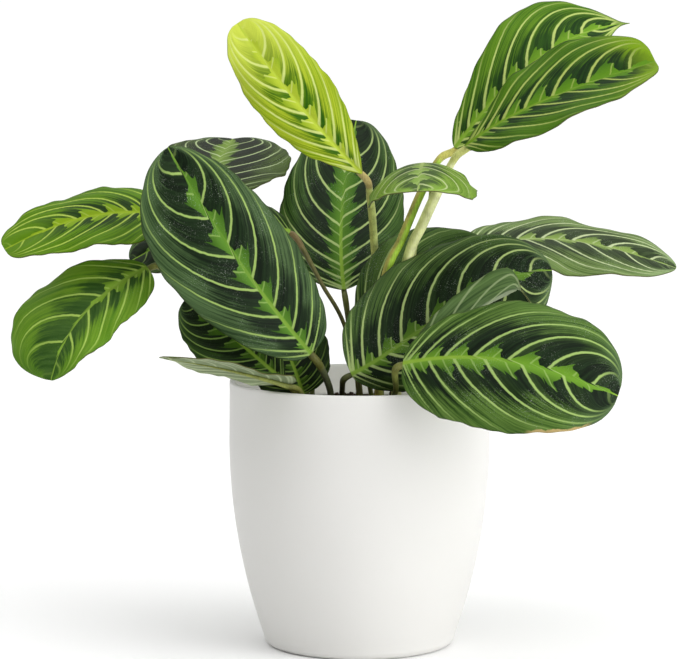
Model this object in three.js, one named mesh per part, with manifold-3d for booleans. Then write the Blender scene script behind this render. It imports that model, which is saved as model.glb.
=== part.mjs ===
// A potted prayer plant: a plain white pot, its soil, and leaves that each stand on a stem of their own.
// Millimetres, +Z up, the origin at the centre of the pot's flat underside, +X to the right and +Y to
// the back of the side that shows the widest leaves.
import * as THREE from 'three';
import Module from 'manifold-3d';
import { mergeVertices } from 'three/addons/utils/BufferGeometryUtils.js';

const wasm = await Module();
wasm.setup();

// The pot. Its wall follows a parabola from the foot up to the belly and is nearly straight above it.
const POT_HEIGHT = 123.3;
const RIM_RADIUS = 60;
const BELLY_RADIUS = 60.2;
const BELLY_HEIGHT = 95;
const FOOT_TAPER = 17.2;
const FOOT_ROUND = 4.2;
const WALL = 2;
const FLOOR = 3;
const POT_SIDES = 48;

// The soil fills the pot to a little under the rim, with a small gap all round.
const SOIL_TOP = 110;
const SOIL_DOME = 1;
const SEAT_GAP = 0.3;
const HOLE_GAP = 0.45;
const HOLE_SIDES = 10;
const HOLE_TOP = SOIL_TOP + 5;

// What all leaves share.
const STEM_FOOT = 88;
const BLADE_THICKNESS = 0.7;
const TIP_HALF_WIDTH = 0.5;
const COLUMNS = [-1, -0.55, -0.12, 0, 0.12, 0.55, 1];
const TORN_COLUMNS = [-1, -0.78, -0.55, -0.33, -0.12, 0, 0.12, 0.33, 0.55, 0.78, 1];
const TEAR_ROWS = [-0.055, -0.035, -0.018, 0, 0.018, 0.035, 0.055];
const TEAR_DEPTH = 0.55;
const TEAR_WIDTH = 0.026;
const BLADE_ROWS = 14;
const STEM_ROWS = 7;
const ROW_CROWDING = 0.11;
const JOINT_SWELLING = 0.15;
const TANGENT_STEP = 1e-3;

// The leaves. rib runs from the blade's base to its tip, face is the way the upper side looks at the
// base and at the tip, and left and right, seen with the tip ahead and the upper side up, hold each
// half's width, its lift from the rib and its curl to the edge in degrees, and how far the widest
// place lies to the tip (1 is the middle). A lift or curl of three numbers goes from the base over the
// middle to the tip. ends holds how pointed the base and the tip are, wave the edge's height, count
// and phase, and stem the points from the soil up to the blade, its own radius first. torn says where
// a right half is torn through, and which lift and curl it has on the base's side of the tear.
const YOUNG = { color: '#a4c437', roughness: 0.45 };
const GROWN = { color: '#4f8a32', roughness: 0.45 };
const OLD = { color: '#24462c', roughness: 0.4 };
const LEAVES = {
  leaf_top_left: {
    tone: YOUNG, rib: [[1, -8, 219], [-29, -6, 252], [-56, 6, 287]],
    face: [[0.1, -0.95, 0.25], [-0.15, -0.85, 0.45]],
    left: [17, 8, -30, 1.2], right: [19, 12, -30, 1.2], ends: [0.8, 0.42], wave: [1, 2.5, 0],
    stem: [1.5, [10, 26], [9, 27, 150], [7, 24, 184], [5, 6, 206]],
  },
  leaf_top_right_rear: {
    tone: GROWN, rib: [[44, 4, 230], [84.6, 14, 272], [126, 30, 286.6]],
    face: [[-0.3, -0.85, 0.35], [-0.1, -0.8, 0.6]],
    left: [27, -4.5, 8, 1.19], right: [27, 8, -20, 0.9], ends: [0.6, 2], wave: [1, 2.5, 0.2],
    stem: [1.6, [9, -6], [9, -7, 140], [12.1, -6, 172.2], [19.5, -4, 189.1], [27.8, -1, 208.6], [36.1, 2, 224.1]],
  },
  leaf_top_right_front: {
    tone: GROWN, rib: [[47.9, -12, 231.7], [82, -18, 252], [134, -14, 270]],
    face: [[-0.3, -0.6, 0.72], [-0.2, -0.6, 0.75]],
    left: [25, 18, -10, 2], right: [22, [5, 22, 15], -30, 1.05], ends: [0.7, 0.32], wave: [1, 3, 0.1],
    stem: [1.6, [17, -7.2], [17, -6.6, 150], [22.6, -5.4, 181.3], [28.5, -7.5, 195.1], [34.8, -8.8, 209.2], [41.6, -10.5, 223.2]],
  },
  leaf_centre_young: {
    tone: YOUNG, rib: [[29, -12, 224], [27, -42, 223], [25, -70, 215]],
    face: [[0, -0.05, 1], [0, -0.3, 1]],
    left: [28.5, 0, -50, 0.95], right: [29.5, -5, -60, 0.95], ends: [0.52, 0.58], wave: [1.2, 2, 0.3],
    stem: [1.4, [25, -6], [24, -4, 150], [24.5, -1.5, 181], [28.4, -2.2, 195], [33.2, -3.6, 209]],
  },
  leaf_centre_upright: {
    tone: OLD, rib: [[-7, 28, 162], [-8, 58, 197], [-1, 100, 238]],
    face: [[0, -0.8, 0.6], [0, -0.8, 0.6]],
    left: [30, 10, -30, 0.95], right: [30, 10, -30, 0.95], ends: [0.7, 0.5], wave: [1.2, 2.5, 0.5],
    stem: [1.3, [0, 24], [-4, 26, 140]],
  },
  leaf_left_large: {
    tone: OLD, rib: [[-22, -40, 140], [-55, -54, 184.5], [-85.5, -46, 233]],
    face: [[0.1, -0.95, 0.3], [-0.1, -0.9, 0.4]],
    left: [31.3, 8, -25, 1.4], right: [25.5, 12, -30, 0.9], ends: [0.42, 0.62], wave: [1.3, 2.5, 0],
    stem: [1.6, [-13, -23], [-14, -30, 124]],
  },
  leaf_left_rear: {
    tone: OLD, rib: [[-75, 36, 206], [-67, 78, 220], [-62, 118, 228]],
    face: [[0, -0.3, 0.95], [0, -0.2, 1]],
    left: [30, 10, -20, 0.95], right: [34, 10, -25, 0.95], ends: [0.45, 0.5], wave: [1.2, 2.5, 0.4],
    stem: [1.5, [-22, 28], [-28, 30, 150], [-50, 34, 190]],
  },
  leaf_far_left_upper: {
    tone: YOUNG, rib: [[-87, -22, 201], [-123, -26, 200.5], [-160, -32, 186]],
    face: [[0, -0.55, 0.85], [-0.2, -0.65, 0.75]],
    left: [22, 10, -20, 0.6], right: [20, 10, -30, 0.6], ends: [0.43, 0.32], wave: [1.2, 2.5, 0.1],
    stem: [1.4, [-24, 6], [-30, 5, 140], [-52, -10, 170]],
  },
  leaf_far_left_lower: {
    tone: GROWN, rib: [[-96, -30, 178], [-125, -42, 157], [-138, -50, 129]],
    face: [[-0.1, -0.75, 0.65], [-0.5, -0.8, 0.3]],
    left: [17.5, 5, -30, 0.8], right: [34, 5, -30, 1.8], ends: [0.35, 0.6], wave: [1.5, 2.5, 0.35],
    stem: [1.4, [-31, -2], [-37, 0, 136], [-76, -12, 159]],
  },
  leaf_left_hidden: {
    tone: OLD, rib: [[-32, 10, 191], [-68, 9, 193], [-106, 9, 177]],
    face: [[0, -0.7, 0.7], [0, -0.6, 0.8]],
    left: [25, 5, -25, 1], right: [23, 3, -25, 1.2], ends: [0.6, 0.5], wave: [1.2, 2.5, 0.1],
    stem: [1.4, [1, 12], [-6.5, 10, 146], [-17.3, 8.5, 166.5], [-27.5, 9.5, 185]],
  },
  leaf_low_left: {
    tone: OLD, rib: [[-34, -24, 125], [-56, -30, 145], [-79, -24, 163]],
    face: [[0.1, -0.95, 0.2], [-0.1, -0.95, 0.2]],
    left: [18, 5, -25, 1.25], right: [20, 5, -25, 1.25], ends: [0.85, 0.42], wave: [1, 2, 0.1],
    stem: [1.3, [-26, -16]],
  },
  leaf_rim_left: {
    tone: OLD, rib: [[-31, -46, 127], [-60, -60, 136], [-89, -64, 141]],
    face: [[0, 0.3, 0.93], [0, 0.35, 0.93]],
    left: [16, 5, -25, 0.8], right: [12, 5, -25, 0.8], ends: [0.6, 1], wave: [1, 2, 0.1],
    stem: [1.2, [-21, -32], [-24, -37, 116]],
  },
  leaf_right_large: {
    tone: OLD, rib: [[-4, -38, 130.4], [24, -31, 147.3], [55, -23, 166.9], [87.8, -12, 174.8]],
    face: [[-0.25, -0.93, 0.25], [-0.2, -0.8, 0.6]],
    left: [33.5, 8, [-20, -25, -25], 0.96], right: [31, [-35, -10, -5], [-20, -15, -20], 1.35],
    torn: [0.805, -8, 172], ends: [0.48, 0.56], wave: [1.3, 2.5, 0.1],
    stem: [1.3, [-7, -14], [-8, -24, 121]],
  },
  leaf_right_front: {
    tone: OLD, rib: [[19, -60, 138], [64, -84, 142], [112, -88, 127]],
    face: [[-0.1, -0.85, 0.5], [0.15, -0.85, 0.5]],
    left: [31, 8, -25, 1.4], right: [32, 5, -30, 1], ends: [0.42, 0.42], wave: [1.3, 2.5, 0.1],
    stem: [1.5, [14, -25], [16, -42, 123]],
  },
  leaf_far_right: {
    tone: OLD, rib: [[52, 51, 178], [96, 54, 183.5], [151, 50, 170]],
    face: [[0, -0.3, 0.95], [0.3, -0.35, 0.9]],
    left: [26.5, 8, -20, 0.95], right: [30, 8, -30, 1.2], ends: [0.42, 0.55], wave: [1.3, 2.5, 0.1],
    stem: [1.5, [26, 20], [29, 24, 138], [39, 40, 165]],
  },
  leaf_right_rear: {
    tone: OLD, rib: [[5, 4, 140], [26, 9, 146], [81, 14, 156]],
    face: [[-0.15, -0.97, 0.15], [-0.1, -0.9, 0.3]],
    left: [47, 5, -20, 1.55], right: [22, 8, -20, 1.1], ends: [0.42, 0.5], wave: [1.3, 2.5, 0.1],
    stem: [1.4, [6, 3]],
  },
  leaf_low_centre: {
    tone: OLD, rib: [[-26, -14, 118], [-33, -17, 138], [-44, -17, 159]],
    face: [[0.2, -0.9, 0.4], [0.2, -0.8, 0.5]],
    left: [20, 8, -20, 0.95], right: [20, 8, -20, 0.95], ends: [0.42, 0.5], wave: [1, 2, 0.1],
    stem: [1.3, [-18, -8]],
  },
  leaf_back_left: {
    tone: OLD, rib: [[-34, 44, 135], [-50, 64, 160], [-66, 80, 180]],
    face: [[-0.2, 0.5, 0.85], [-0.3, 0.7, 0.6]],
    left: [26, 8, -20, 0.95], right: [26, 8, -20, 0.95], ends: [0.42, 0.5], wave: [1.2, 2, 0.1],
    stem: [1.4, [-29, 36]],
  },
  leaf_back_right: {
    tone: OLD, rib: [[30, 44, 150], [52, 70, 165], [78, 92, 168]],
    face: [[0.2, 0.4, 0.9], [0.3, 0.6, 0.7]],
    left: [26, 8, -20, 0.95], right: [26, 8, -20, 0.95], ends: [0.42, 0.5], wave: [1.2, 2, 0.1],
    stem: [1.4, [18, 30], [24, 34, 130]],
  },
  leaf_back_low: {
    tone: OLD, rib: [[24, 54, 140], [38, 88, 138], [50, 112, 108]],
    face: [[0, 0.2, 1], [0.2, 0.9, 0.3]],
    left: [26, 8, -20, 0.95], right: [26, 8, -20, 0.95], ends: [0.42, 0.5], wave: [1.2, 2, 0.1],
    stem: [1.4, [8, 34], [14, 40, 126]],
  },
};

const UP = new THREE.Vector3(0, 0, 1);
const mix = THREE.MathUtils.lerp;
const smooth = THREE.MathUtils.smoothstep;

const vector = ([x, y, z]) => new THREE.Vector3(x, y, z);

const mesh = (name, geometry, color, roughness) => {
  const material = new THREE.MeshStandardMaterial({ color, roughness, metalness: 0 });
  const made = new THREE.Mesh(geometry, material);
  made.name = name;
  return made;
};

// A lathed shape with its shared corners merged, turned from three.js's +Y axis to +Z.
const lathed = (profile, sides) => {
  const geometry = new THREE.LatheGeometry(profile, sides);
  geometry.deleteAttribute('normal');
  geometry.deleteAttribute('uv');
  geometry.rotateX(Math.PI / 2);
  return mergeVertices(geometry, 1e-4);
};

// The wall's outer radius at a height, and the heights at which wall and soil have their rings.
const wallRadius = (z) => {
  const below = Math.max(0, 1 - z / BELLY_HEIGHT);
  const above = Math.max(0, (z - BELLY_HEIGHT) / (POT_HEIGHT - BELLY_HEIGHT));
  return BELLY_RADIUS - FOOT_TAPER * below ** 2 - (BELLY_RADIUS - RIM_RADIUS) * above;
};
const WALL_RINGS = [14, 26, 40, 56, 74, 95];

const arc = (x, y, radius, from, to, steps) => Array.from({ length: steps + 1 }, (_, i) => {
  const angle = THREE.MathUtils.degToRad(mix(from, to, i / steps));
  return new THREE.Vector2(x + radius * Math.cos(angle), y + radius * Math.sin(angle));
});

// The pot is one moulded shell: a flat underside, a rounded foot, a thin wall and a softly rounded rim.
const potProfile = () => {
  const footX = wallRadius(FOOT_ROUND) - FOOT_ROUND;
  const lip = WALL / 2;
  const inner = WALL_RINGS.map((z) => new THREE.Vector2(wallRadius(z) - WALL, z)).reverse();
  return [
    new THREE.Vector2(0, 0),
    ...arc(footX, FOOT_ROUND, FOOT_ROUND, -90, 0, 4),
    ...WALL_RINGS.map((z) => new THREE.Vector2(wallRadius(z), z)),
    ...arc(RIM_RADIUS - lip, POT_HEIGHT - lip, lip, 0, 180, 4),
    ...inner,
    new THREE.Vector2(wallRadius(FLOOR) - WALL - FOOT_ROUND / 2, FLOOR),
    new THREE.Vector2(0, FLOOR),
  ];
};

// The soil takes the shape of the pot's inside, with a low dome on top.
const soilProfile = () => [
  new THREE.Vector2(0, FLOOR + SEAT_GAP),
  new THREE.Vector2(wallRadius(FLOOR) - WALL - FOOT_ROUND, FLOOR + SEAT_GAP),
  ...WALL_RINGS.map((z) => new THREE.Vector2(wallRadius(z) - WALL - SEAT_GAP, z)),
  new THREE.Vector2(wallRadius(SOIL_TOP) - WALL - SEAT_GAP, SOIL_TOP - SOIL_DOME),
  new THREE.Vector2(wallRadius(SOIL_TOP) / 2, SOIL_TOP - SOIL_DOME / 4),
  new THREE.Vector2(0, SOIL_TOP),
];

const solid = (geometry) => new wasm.Manifold(new wasm.Mesh({
  numProp: 3,
  vertProperties: new Float32Array(geometry.attributes.position.array),
  triVerts: new Uint32Array(geometry.index.array),
}));

// Each stem stands in a plain round hole in the soil.
const soilGeometry = () => {
  let soil = solid(lathed(soilProfile(), POT_SIDES));
  for (const { stem: [radius, [x, y]] } of Object.values(LEAVES)) {
    const wide = (radius + HOLE_GAP) / Math.cos(Math.PI / HOLE_SIDES);
    const depth = HOLE_TOP - STEM_FOOT + SEAT_GAP;
    const hole = new THREE.CylinderGeometry(wide, wide, depth, HOLE_SIDES);
    hole.deleteAttribute('normal');
    hole.deleteAttribute('uv');
    hole.rotateX(Math.PI / 2);
    hole.translate(x, y, HOLE_TOP - depth / 2);
    soil = soil.subtract(solid(mergeVertices(hole, 1e-4)));
  }
  const { vertProperties, triVerts } = soil.getMesh();
  const geometry = new THREE.BufferGeometry();
  geometry.setAttribute('position', new THREE.BufferAttribute(vertProperties, 3));
  geometry.setIndex(new THREE.BufferAttribute(triVerts, 1));
  return geometry;
};

// A smooth curve through the midrib's three or four points, with t from 0 at the base to 1 at the tip.
const ribPoint = (rib, t) => {
  const p = rib.map(vector);
  const last = p.length - 1;
  const point = new THREE.Vector3();
  p.forEach((at, i) => {
    let weight = 1;
    for (let j = 0; j <= last; j++) if (j !== i) weight *= (t * last - j) / (i - j);
    point.addScaledVector(at, weight);
  });
  return point;
};

const ribDirection = (rib, t) => {
  const ahead = ribPoint(rib, Math.min(1, t + TANGENT_STEP));
  return ahead.sub(ribPoint(rib, Math.max(0, t - TANGENT_STEP))).normalize();
};

// A value that holds all along the blade, or goes from the base over the middle to the tip.
const along = (value, t) => {
  if (!Array.isArray(value)) return value;
  const [base, middle, tip] = value;
  return base * (1 - t) * (1 - 2 * t) + 4 * middle * t * (1 - t) + tip * t * (2 * t - 1);
};

// The frame at t on the midrib: ahead to the tip, to the right, and out of the upper side.
const ribFrame = ({ rib, face }, t) => {
  const ahead = ribDirection(rib, t);
  const hint = vector(face[0]).normalize().lerp(vector(face[1]).normalize(), t);
  const right = ahead.clone().cross(hint).normalize();
  return { ahead, right, up: right.clone().cross(ahead) };
};

// A point of the blade: v runs from -1 at the left edge over 0 at the midrib to 1 at the right edge,
// and height is measured from the middle of the blade's thickness.
const bladePoint = (leaf, t, v, height) => {
  const { right, up } = ribFrame(leaf, t);
  const [half, lift, curl, belly] = v < 0 ? leaf.left : leaf.right;
  const side = Math.sign(v);
  const u = t ** belly;
  let swell = Math.max(0, 4 * u * (1 - u)) ** mix(leaf.ends[0], leaf.ends[1], t);
  let [lifted, curled] = [along(lift, t), along(curl, t)];
  if (leaf.torn && v > 0) {
    const [tear, tornLift, tornCurl] = leaf.torn;
    const folded = smooth(t, 0.1, 0.34) * (1 - smooth(t, tear - 0.02, tear + 0.04));
    lifted = mix(lifted, tornLift, folded);
    curled = mix(curled, tornCurl, folded);
    swell *= 1 - TEAR_DEPTH * Math.exp(-(((t - tear) / TEAR_WIDTH) ** 2));
  }
  const out = Math.abs(v) * (half * swell + TIP_HALF_WIDTH);
  const start = THREE.MathUtils.degToRad(lifted);
  const bend = THREE.MathUtils.degToRad(curled) / half;
  const angle = start + bend * out;
  const [size, count, phase] = leaf.wave;
  const turn = 2 * Math.PI * (count * t + phase + (v > 0 ? 0.25 : 0));
  const ripple = size * Math.abs(v) ** 3 * Math.sin(turn) * Math.sin(Math.PI * t) ** 0.5;
  const across = (Math.sin(angle) - Math.sin(start)) / bend;
  const rise = (Math.cos(start) - Math.cos(angle)) / bend + ripple;
  return ribPoint(leaf.rib, t)
    .addScaledVector(right, side * across - side * height * Math.sin(angle))
    .addScaledVector(up, rise + height * Math.cos(angle));
};

const columns = (leaf) => (leaf.torn ? TORN_COLUMNS : COLUMNS);

// One closed outline across the blade: the upper side from left to right, then the underside back,
// which has the midrib standing out of it.
const bladeRing = (leaf, t) => {
  const keel = (leaf.stem[0] - BLADE_THICKNESS / 2) * (1 - t) ** 1.5;
  const upper = columns(leaf).map((v) => bladePoint(leaf, t, v, BLADE_THICKNESS / 2));
  const under = columns(leaf).map((v) => bladePoint(leaf, t, v, -BLADE_THICKNESS / 2 - (v === 0 ? keel : 0)));
  return [...upper, ...under.reverse()];
};

// The stem above the soil: it leaves the soil upright and runs into the midrib in its direction.
const stemPoint = ({ rib, stem: [, [x, y], ...between] }, t) => {
  const p = [new THREE.Vector3(x, y, SOIL_TOP), ...between.map(vector), vector(rib[0])];
  const last = p.length - 1;
  const first = p[1].clone().addScaledVector(UP, -2 * p[0].distanceTo(p[1]));
  const beyond = 2 * p[last].distanceTo(p[last - 1]);
  const after = p[last - 1].clone().addScaledVector(ribDirection(rib, 0), beyond);
  const i = Math.min(last - 1, Math.floor(t * last));
  const at = [p[i - 1] ?? first, p[i], p[i + 1], p[i + 2] ?? after];
  const f = t * last - i;
  const catmullRom = (a, b, c, d) => {
    const bent = (2 * a - 5 * b + 4 * c - d) * f * f + (3 * b - a - 3 * c + d) * f ** 3;
    return b + ((c - a) * f + bent) / 2;
  };
  return new THREE.Vector3(...['x', 'y', 'z'].map((k) => catmullRom(...at.map((q) => q[k]))));
};

// The stem's rings, from just under the blade down to its foot in the soil. They keep the blade's own
// turn as they follow the stem, and swell a little at the joint with the blade.
const stemRings = (leaf) => {
  const [radius, [x, y]] = leaf.stem;
  let { right } = ribFrame(leaf, 0);
  const rings = [];
  for (let row = STEM_ROWS; row >= -1; row--) {
    const t = Math.max(0, row) / STEM_ROWS;
    const centre = row < 0 ? new THREE.Vector3(x, y, STEM_FOOT) : stemPoint(leaf, t);
    const next = stemPoint(leaf, Math.min(1, t + TANGENT_STEP));
    const tangent = next.sub(stemPoint(leaf, Math.max(0, t - TANGENT_STEP))).normalize();
    const ahead = row <= 0 ? UP : tangent;
    right = right.clone().addScaledVector(ahead, -right.dot(ahead)).normalize();
    const up = right.clone().cross(ahead);
    const wide = radius * (1 + JOINT_SWELLING * Math.max(0, 4 * t - 3));
    const corners = 2 * columns(leaf).length;
    rings.push(Array.from({ length: corners }, (_, k) => {
      const angle = Math.PI - (2 * Math.PI * (k + 0.5)) / corners;
      return centre.clone()
        .addScaledVector(right, wide * Math.cos(angle))
        .addScaledVector(up, wide * Math.sin(angle));
    }));
  }
  return rings.reverse();
};

// The closed skin over a row of rings. The underside's triangles are split like the upper side's.
const skin = (rings) => {
  const n = rings[0].length;
  const index = [];
  for (let i = 0; i + 1 < rings.length; i++) {
    for (let k = 0; k < n; k++) {
      const [a, b] = [i * n + k, i * n + ((k + 1) % n)];
      const [c, d] = [a + n, b + n];
      index.push(...(k < n / 2 ? [a, b, d, a, d, c] : [a, b, c, b, d, c]));
    }
  }
  const end = (rings.length - 1) * n;
  for (let k = 0; k + 1 < n / 2; k++) {
    const [a, b, c, d] = [k, k + 1, n - 2 - k, n - 1 - k];
    index.push(a, c, b, a, d, c, end + a, end + b, end + c, end + a, end + c, end + d);
  }
  const geometry = new THREE.BufferGeometry().setFromPoints(rings.flat());
  geometry.setIndex(index);
  return geometry;
};

const leafGeometry = (leaf) => {
  const even = Array.from({ length: BLADE_ROWS }, (_, row) => (row + 1) / BLADE_ROWS);
  let rows = even.map((t) => t - ROW_CROWDING * Math.sin(2 * Math.PI * t));
  if (leaf.torn) {
    const tear = TEAR_ROWS.map((step) => leaf.torn[0] + step);
    rows = [...rows.filter((t) => Math.abs(t - leaf.torn[0]) > 0.068), ...tear].sort((a, b) => a - b);
  }
  return skin([...stemRings(leaf), ...rows.map((t) => bladeRing(leaf, t))]);
};

const plant = new THREE.Group();
plant.add(mesh('pot', lathed(potProfile(), POT_SIDES), '#f0efed', 0.35));
plant.add(mesh('soil', soilGeometry(), '#3a2a20', 0.95));
for (const [name, leaf] of Object.entries(LEAVES)) {
  plant.add(mesh(name, leafGeometry(leaf), leaf.tone.color, leaf.tone.roughness));
}

export default plant;
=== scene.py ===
# A potted prayer plant: a white moulded pot, potting soil, and broad patterned leaves that each stand on
# a stem of their own. Lengths of the plant are in millimetres until a mesh is made of them, and in metres
# after that.
import math

import bpy
import numpy as np
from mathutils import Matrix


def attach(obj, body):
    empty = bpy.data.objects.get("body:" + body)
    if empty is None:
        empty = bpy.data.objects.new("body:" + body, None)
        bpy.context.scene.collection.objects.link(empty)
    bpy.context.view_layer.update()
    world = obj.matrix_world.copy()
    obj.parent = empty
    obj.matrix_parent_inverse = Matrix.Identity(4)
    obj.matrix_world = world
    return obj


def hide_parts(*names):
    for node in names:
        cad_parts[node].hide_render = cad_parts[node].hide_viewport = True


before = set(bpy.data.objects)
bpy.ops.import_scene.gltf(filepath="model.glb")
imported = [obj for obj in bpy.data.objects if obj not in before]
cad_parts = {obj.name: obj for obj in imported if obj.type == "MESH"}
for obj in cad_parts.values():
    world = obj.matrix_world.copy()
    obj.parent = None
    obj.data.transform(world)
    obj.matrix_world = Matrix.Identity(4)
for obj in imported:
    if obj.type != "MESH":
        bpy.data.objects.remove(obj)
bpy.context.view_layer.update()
bpy.ops.object.select_all(action="DESELECT")

# The camera stands 1.5 m in front of the pot, a little higher than the topmost leaf, and looks down.
# Its long lens gives a focal length of 3270 pixels in a frame that is 679 pixels wide.
CAMERA_PLACE, LOOKS_DOWN = (-0.0092, -1.5, 0.3133), 6.35
FOCAL_LENGTH, FRAME_WIDTH, SENSOR_WIDTH = 3270, 679, 36

bpy.ops.object.camera_add(location=CAMERA_PLACE, rotation=(math.radians(90 - LOOKS_DOWN), 0, 0))
camera = bpy.context.object
camera.data.sensor_fit = "HORIZONTAL"
camera.data.sensor_width = SENSOR_WIDTH
camera.data.lens = SENSOR_WIDTH * FOCAL_LENGTH / FRAME_WIDTH
camera.data.clip_end = 200
bpy.context.scene.camera = camera
bpy.context.scene.view_settings.view_transform = "Standard"

# The studio: a white paper floor without end under a bright soft ceiling, with darker walls, so that what
# stands upright is shaded from its top to its foot. A wide lamp at the right front lights the pot's right.
# CEILING_LIGHT is what the light straight from above has more than the light of the walls.
WALL_LIGHT, CEILING_LIGHT = 0.15, 1.82
LAMP_PLACE, LAMP_TURN = (2.0, -1.35, 0.7), (77, 0, 56)
LAMP_WIDTH, LAMP_WATTS = 2.4, 46
PAPER_WIDTH = 120


def linear(colour, alpha=1):
    """An sRGB hex colour as linear red, green, blue and alpha."""
    parts = [int(colour[i : i + 2], 16) / 255 for i in (1, 3, 5)]
    return [p / 12.92 if p <= 0.04045 else ((p + 0.055) / 1.055) ** 2.4 for p in parts] + [alpha]


def add(tree, kind, inputs=(), output=0, **settings):
    """Adds a shader node and gives one of its outputs. inputs sets an input's value, or links it."""
    made = tree.nodes.new("ShaderNode" + kind)
    for name, value in settings.items():
        setattr(made, name, value)
    for key, value in dict(inputs).items():
        if isinstance(value, bpy.types.NodeSocket):
            tree.links.new(value, made.inputs[key])
        else:
            made.inputs[key].default_value = value
    return made.outputs[output] if made.outputs else made


def new_material(name):
    """A material with nothing in its tree."""
    material = bpy.data.materials.new(name)
    material.use_nodes = True
    material.node_tree.nodes.clear()
    return material, material.node_tree


world = bpy.data.worlds.new("studio_ceiling_and_walls")
world.use_nodes = True
sky = world.node_tree
sky.nodes.clear()
height = add(sky, "SeparateXYZ", {0: add(sky, "TexCoord", output="Generated")}, output=2)
above = add(sky, "Math", {0: height, 1: 0.0}, operation="MAXIMUM")
above = add(sky, "Math", {0: above, 1: 2.0}, operation="POWER")
strength = add(sky, "Math", {0: above, 1: CEILING_LIGHT, 2: WALL_LIGHT}, operation="MULTIPLY_ADD")
light = add(sky, "Background", {"Color": linear("#ffffff"), "Strength": strength})
add(sky, "OutputWorld", {"Surface": light})
bpy.context.scene.world = world

bpy.ops.object.light_add(type="AREA", location=LAMP_PLACE, rotation=[math.radians(a) for a in LAMP_TURN])
lamp = bpy.context.object
lamp.name = "lamp_right"
lamp.data.shape = "DISK"
lamp.data.size = LAMP_WIDTH
lamp.data.energy = LAMP_WATTS

bpy.ops.mesh.primitive_plane_add(size=PAPER_WIDTH)
floor = bpy.context.object
floor.name = "floor"
paper, tree = new_material("white_paper_backdrop")
shader = add(
    tree, "BsdfPrincipled", {"Base Color": linear("#fefefe"), "Roughness": 0.9, "Specular IOR Level": 0.1}
)
add(tree, "OutputMaterial", {"Surface": shader})
floor.data.materials.append(paper)

# The pot is one thin shell, injection moulded in white polypropylene: a flat underside, a rounded foot,
# a wall that is nearly straight under the rim and tapers to the foot, and a softly rounded rim.
POT_HEIGHT, RIM_RADIUS, BELLY_RADIUS, BELLY_HEIGHT = 123.3, 60, 60.2, 95
FOOT_TAPER, FOOT_ROUND, WALL, BASE, CORNER = 17.2, 4.2, 2, 3, 3
POT_SIDES, WALL_RINGS, ROUND_STEPS = 144, 40, 10


def wall_radius(z):
    """The outer radius of the pot's wall at a height."""
    below = max(0, 1 - z / BELLY_HEIGHT)
    above = max(0, (z - BELLY_HEIGHT) / (POT_HEIGHT - BELLY_HEIGHT))
    return BELLY_RADIUS - FOOT_TAPER * below**2 - (BELLY_RADIUS - RIM_RADIUS) * above


def arc(x, z, radius, start, end):
    """Points of an arc in the profile, as radius and height. Its ends are angles in degrees."""
    angles = np.radians(np.linspace(start, end, ROUND_STEPS + 1))
    return [(x + radius * math.cos(a), z + radius * math.sin(a)) for a in angles]


def turned(name, profile, sides):
    """A round shell: a disc at the first point of the profile, extruded ring by ring along the rest."""
    (first_r, first_z), *rest = profile
    bpy.ops.mesh.primitive_circle_add(
        vertices=sides, radius=first_r / 1000, fill_type="NGON", location=(0, 0, first_z / 1000)
    )
    piece = bpy.context.object
    piece.name = name
    bpy.ops.object.transform_apply(location=True, rotation=True, scale=True)
    bpy.ops.object.mode_set(mode="EDIT")
    bpy.ops.mesh.select_all(action="SELECT")
    bpy.ops.mesh.flip_normals()
    r, z = first_r, first_z
    for next_r, next_z in rest:
        bpy.ops.mesh.extrude_region_move(TRANSFORM_OT_translate={"value": (0, 0, (next_z - z) / 1000)})
        bpy.ops.transform.resize(
            value=(next_r / r, next_r / r, 1), center_override=(0, 0, next_z / 1000)
        )
        r, z = next_r, next_z
    bpy.ops.object.mode_set(mode="OBJECT")
    bpy.ops.object.shade_smooth()
    bpy.ops.object.select_all(action="DESELECT")
    return piece


# The profile runs from under the base round the foot, up the wall, over the rim and down the inside to
# the top of the base, with a soft corner there.
heights = np.linspace(FOOT_ROUND + CORNER, POT_HEIGHT - CORNER, WALL_RINGS)
foot_x = wall_radius(FOOT_ROUND) - FOOT_ROUND
rim_x = RIM_RADIUS - WALL / 2
inside_foot = wall_radius(BASE) - WALL - CORNER
pot = turned(
    "pot_shell",
    [(30, 0), (foot_x - 1, 0)]
    + arc(foot_x, FOOT_ROUND, FOOT_ROUND, -90, 0)
    + [(wall_radius(z), z) for z in heights]
    + arc(rim_x, POT_HEIGHT - WALL / 2, WALL / 2, 0, 180)
    + [(wall_radius(z) - WALL, z) for z in heights[::-1]]
    + [(inside_foot + 0.5, BASE + 0.6), (inside_foot - 1, BASE), (20, BASE)],
    POT_SIDES,
)

# Moulded polypropylene: nearly white, with a soft gloss. Its grain of about 0.3 mm only breaks up the
# gloss, and faint smudges of handling are 40 mm across. Above the soil the inside of the wall glows with
# light that comes through it from behind: up to GLOW_DEPTH, from GLOW_HEIGHT up, all in metres.
GLOW_DEPTH, GLOW_HEIGHT, GLOW_FADE = 0.012, 0.108, 0.002
# A Map Range that falls, and a Mix of colours, whose share is socket 0 and whose colours are 6 and 7.
FALLS = {"To Min": 1, "To Max": 0}
COLOURS = {"output": 2, "data_type": "RGBA"}

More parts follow.
